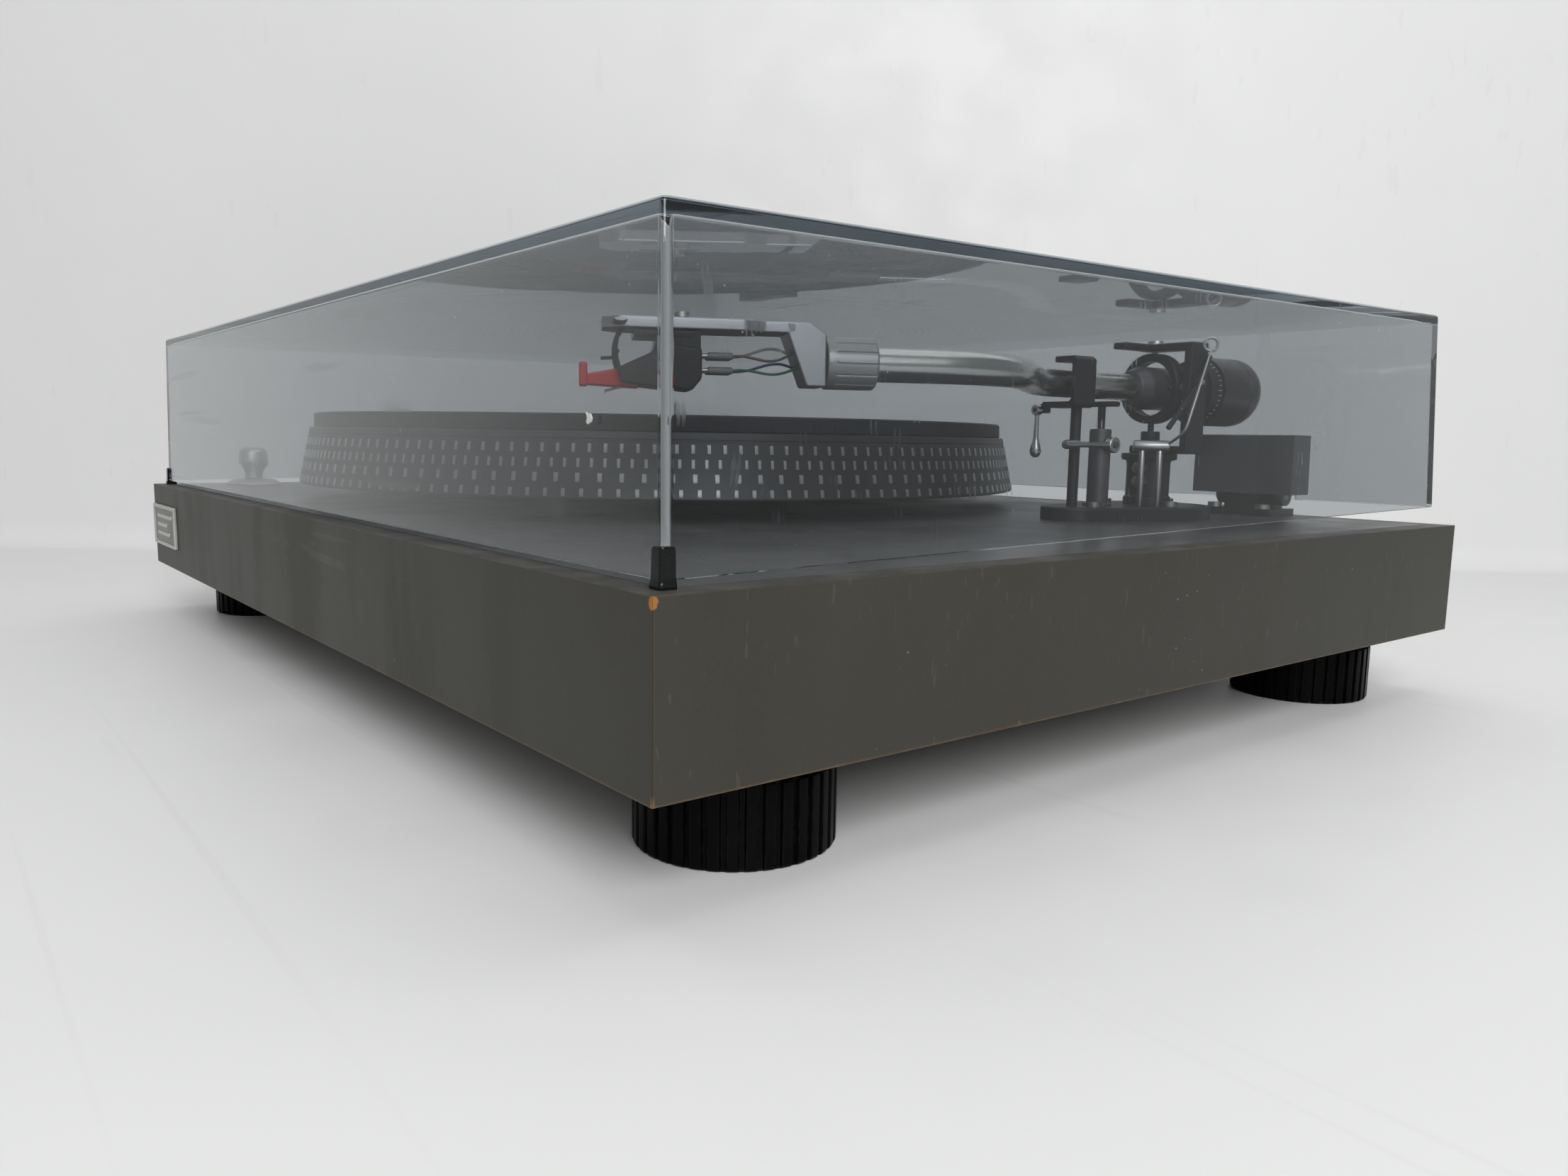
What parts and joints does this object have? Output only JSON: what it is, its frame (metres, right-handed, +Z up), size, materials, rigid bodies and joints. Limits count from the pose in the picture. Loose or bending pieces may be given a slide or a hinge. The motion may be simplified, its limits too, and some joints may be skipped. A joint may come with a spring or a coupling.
{
  "type": "turntable record player",
  "caption": "Low dark-grey record player on ribbed feet: belt-driven platter with a dotted edge band, S-shaped tonearm with headshell and counterweight, under a hinged smoked dust cover.",
  "frame": {"origin": "on the floor under the middle of the plinth", "axes": "+X to the right as the user faces it, where the tonearm is; +Y to the rear, where the cover hinges; +Z up"},
  "size_m": [0.481, 0.3592, 0.1421],
  "materials": {
    "board": "chipboard wrapped in dark olive-grey vinyl with a fine texture",
    "inner_wood": "bare chipboard and hardboard",
    "deck": "dark grey semi-gloss enamel",
    "badge": "brushed, satin, blank",
    "foot": "black, moulded, ribbed",
    "steel": "bright zinc-plated and turned steel",
    "bronze": "sintered bronze",
    "casting": "die-cast, machined",
    "platter": "dark grey edge band with bright speed marks",
    "mat": "black moulded rubber, grooved",
    "belt": "black ground rubber",
    "motor": "grey pressed steel",
    "circuit": "green lacquered board with dark parts",
    "coil": "varnished laminations and winding",
    "black_plastic": "black, semi-gloss",
    "nickel": "nickel plated",
    "arm_black": "satin black enamel",
    "polished": "polished",
    "satin_alloy": "bead-blasted, grey",
    "stylus_red": "red, semi-gloss, slightly translucent",
    "lead": "coloured sleeving",
    "weight": "black lacquered brass",
    "dial": "grey with fine divisions",
    "acrylic": "smoked acrylic, polished, lightly scratched",
    "bumper": "black soft plastic"
  },
  "bodies": {
    "plinth": {"front_board": "board", "right_board": "board", "rear_board": "board", "left_board": "board", "corner_blocks": "inner_wood", "foot_studs": "steel", "bottom_cover": "inner_wood", "bottom_screws": "steel", "badge_plate": "badge", "deck_plate": "deck", "bearing_housing": "casting", "bearing_bushes": "bronze", "drive_belt": "belt", "motor": "motor", "small_screws": "steel", "control_board": "circuit", "transformer": "coil", "socket_plate": "black_plastic", "phono_sockets": "nickel", "earth_terminal": "nickel", "mains_inlet": "black_plastic", "speed_escutcheon": "black_plastic", "speed_switch": "black_plastic", "arm_base": "arm_black", "arm_pillar": "arm_black", "arm_bridge": "satin_alloy", "lift_guide": "polished", "arm_rest": "black_plastic", "bias_guide": "polished", "hinge_brackets": "black_plastic"},
    "platter": {"spindle": "steel", "sub_platter": "casting", "platter": "platter", "platter_mat": "mat"},
    "motor_pulley": {"motor_pulley": "bronze"},
    "speed_knob": {"speed_knob": "black_plastic"},
    "foot_front_left": {"foot_front_left": "foot"},
    "foot_front_right": {"foot_front_right": "foot"},
    "foot_rear_left": {"foot_rear_left": "foot"},
    "foot_rear_right": {"foot_rear_right": "foot"},
    "dust_cover": {"dust_cover": "acrylic", "lid_bumpers": "bumper", "hinge_caps": "black_plastic", "hinge_pins": "steel"},
    "arm_yoke": {"gimbal_ring": "polished", "gimbal_pivots": "steel"},
    "tonearm": {"arm_housing": "satin_alloy", "arm_tube": "polished", "headshell": "satin_alloy", "cartridge": "black_plastic", "stylus_holder": "stylus_red", "cartridge_screws": "steel", "cartridge_leads": "lead"},
    "collar_nut": {"collar_nut": "satin_alloy"},
    "counterweight": {"counterweight": "weight"},
    "tracking_dial": {"tracking_dial": "dial"},
    "lift_lever": {"lift_lever": "polished"},
    "lift_platform": {"lift_platform": "polished"},
    "rest_latch": {"rest_latch": "polished"},
    "bias_lever": {"bias_lever": "arm_black"}
  },
  "joints": [
    {"name": "cover_hinge", "type": "hinge", "parent": "plinth", "child": "dust_cover", "pos_m": [0, 0.1655, 0.073], "axis": [-1, 0, 0], "range_deg": [0, 60]},
    {"name": "platter_spin", "type": "hinge", "parent": "plinth", "child": "platter", "pos_m": [-0.032, 0.001, 0.0945], "axis": [0, 0, -1], "continuous": true},
    {"name": "pulley_spin", "type": "hinge", "parent": "plinth", "child": "motor_pulley", "pos_m": [-0.11544, 0.08444, 0.077], "axis": [0, 0, -1], "continuous": true},
    {"name": "speed_select", "type": "hinge", "parent": "plinth", "child": "speed_knob", "pos_m": [-0.213, -0.134, 0.0679], "axis": [0, 0, -1], "range_deg": [-45, 45]},
    {"name": "arm_swing", "type": "hinge", "parent": "plinth", "child": "arm_yoke", "pos_m": [0.1535, 0.1045, 0.1145], "axis": [0, 0, -1], "range_deg": [0, 46]},
    {"name": "arm_pitch", "type": "hinge", "parent": "arm_yoke", "child": "tonearm", "pos_m": [0.1535, 0.1045, 0.1145], "axis": [-0.9966, 0.0826, 0], "range_deg": [-1, 1.4]},
    {"name": "collar_turn", "type": "hinge", "parent": "tonearm", "child": "collar_nut", "pos_m": [0.1626, -0.07295, 0.1145], "axis": [-0.4701, -0.8826, 0], "range_deg": [0, 45]},
    {"name": "weight_slide", "type": "slide", "parent": "tonearm", "child": "counterweight", "axis": [0.0826, 0.9966, 0], "range_m": [-0.004, 0.003]},
    {"name": "dial_turn", "type": "hinge", "parent": "counterweight", "child": "tracking_dial", "pos_m": [0.15569, 0.13091, 0.1145], "axis": [-0.0826, -0.9966, 0], "continuous": true},
    {"name": "lift_lever_turn", "type": "hinge", "parent": "plinth", "child": "lift_lever", "pos_m": [0.15549, 0.07524, 0.0925], "axis": [0.9966, -0.0826, 0], "range_deg": [0, 45]},
    {"name": "lift_drop", "type": "slide", "parent": "plinth", "child": "lift_platform", "axis": [0, 0, -1], "range_m": [0, 0.004]},
    {"name": "rest_latch_turn", "type": "hinge", "parent": "plinth", "child": "rest_latch", "pos_m": [0.1417, 0.04939, 0.105], "axis": [0.0826, 0.9966, 0], "range_deg": [0, 160]},
    {"name": "bias_swing", "type": "hinge", "parent": "plinth", "child": "bias_lever", "pos_m": [0.17385, 0.10181, 0.1165], "axis": [0.9966, -0.0826, 0], "range_deg": [-9, 9]},
    {"name": "foot_front_left_turn", "type": "hinge", "parent": "plinth", "child": "foot_front_left", "pos_m": [-0.2065, -0.134, 0.0245], "axis": [0, 0, 1], "range_deg": [-360, 720]},
    {"name": "foot_front_right_turn", "type": "hinge", "parent": "plinth", "child": "foot_front_right", "pos_m": [0.2065, -0.134, 0.0245], "axis": [0, 0, 1], "range_deg": [-360, 720]},
    {"name": "foot_rear_left_turn", "type": "hinge", "parent": "plinth", "child": "foot_rear_left", "pos_m": [-0.2065, 0.134, 0.0245], "axis": [0, 0, 1], "range_deg": [-360, 720]},
    {"name": "foot_rear_right_turn", "type": "hinge", "parent": "plinth", "child": "foot_rear_right", "pos_m": [0.2065, 0.134, 0.0245], "axis": [0, 0, 1], "range_deg": [-360, 720]}
  ],
  "couplings": [
    {"joint": "pulley_spin", "follows": "platter_spin", "ratio": 10.223},
    {"joint": "lift_lever_turn", "follows": "lift_drop", "rad_per_m": 196.3}
  ]
}
